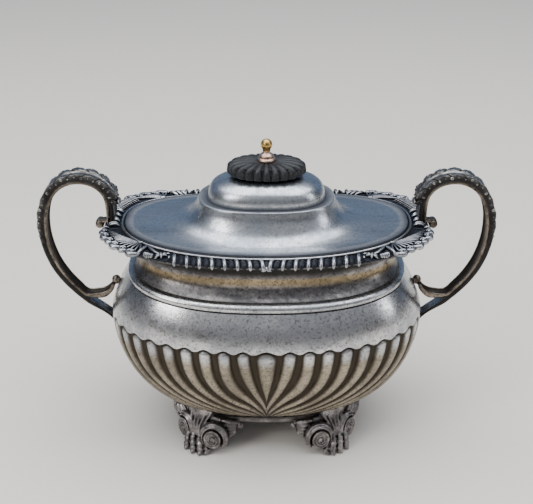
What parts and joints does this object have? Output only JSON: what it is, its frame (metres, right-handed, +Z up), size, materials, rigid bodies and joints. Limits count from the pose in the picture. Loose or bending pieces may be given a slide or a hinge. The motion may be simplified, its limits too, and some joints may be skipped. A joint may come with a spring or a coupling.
{
  "type": "sugar bowl",
  "caption": "Oblong covered sugar bowl on paw feet, with a lobed body, a cast rim, scroll handles and a lift-off domed lid with a knob.",
  "frame": {"origin": "on the table under the middle of the bowl", "axes": "+X from handle to handle, +Z up; the bowl is the same front and back"},
  "size_m": [0.2136, 0.1, 0.1457],
  "materials": {
    "body_silver": "worn satin silver plate, darkened in the grooves",
    "neck_silver": "worn satin silver plate, brown tarnish under the rim",
    "lid_silver": "finely scratched satin silver plate",
    "cast_border": "cast silver plate, dark in the recesses, bright on high points",
    "handle_silver": "cast silver plate worn brown on the inner faces",
    "foot_silver": "dull cast silver plate, dark in the recesses",
    "ebony": "satin black stained hardwood",
    "finial_brass": "worn brass, satin",
    "nut_brass": "plain brass"
  },
  "bodies": {
    "bowl": {"body_shell": "body_silver", "base_ring": "body_silver", "shoulder_moulding": "neck_silver", "neck_collar": "neck_silver", "rim_flange": "neck_silver", "seat_wire": "neck_silver", "gadroon_front": "cast_border", "gadroon_back": "cast_border", "gadroon_left": "cast_border", "gadroon_right": "cast_border", "shell_front_left": "cast_border", "shell_front_right": "cast_border", "shell_back_left": "cast_border", "shell_back_right": "cast_border", "left_handle_strap": "handle_silver", "left_handle_scroll": "handle_silver", "left_handle_leaf": "handle_silver", "left_handle_rim_curl": "handle_silver", "right_handle_strap": "handle_silver", "right_handle_scroll": "handle_silver", "right_handle_leaf": "handle_silver", "right_handle_rim_curl": "handle_silver", "paw_foot_front_left": "foot_silver", "paw_foot_front_right": "foot_silver", "paw_foot_back_left": "foot_silver", "paw_foot_back_right": "foot_silver"},
    "lid": {"lid_cover": "lid_silver", "lid_bezel": "lid_silver", "knob": "ebony", "finial_screw": "finial_brass", "knob_washer": "nut_brass", "knob_nut": "nut_brass"}
  },
  "joints": [
    {"name": "lid_lift", "type": "slide", "parent": "bowl", "child": "lid", "axis": [0, 0, 1], "range_m": [0, 0.06]}
  ]
}
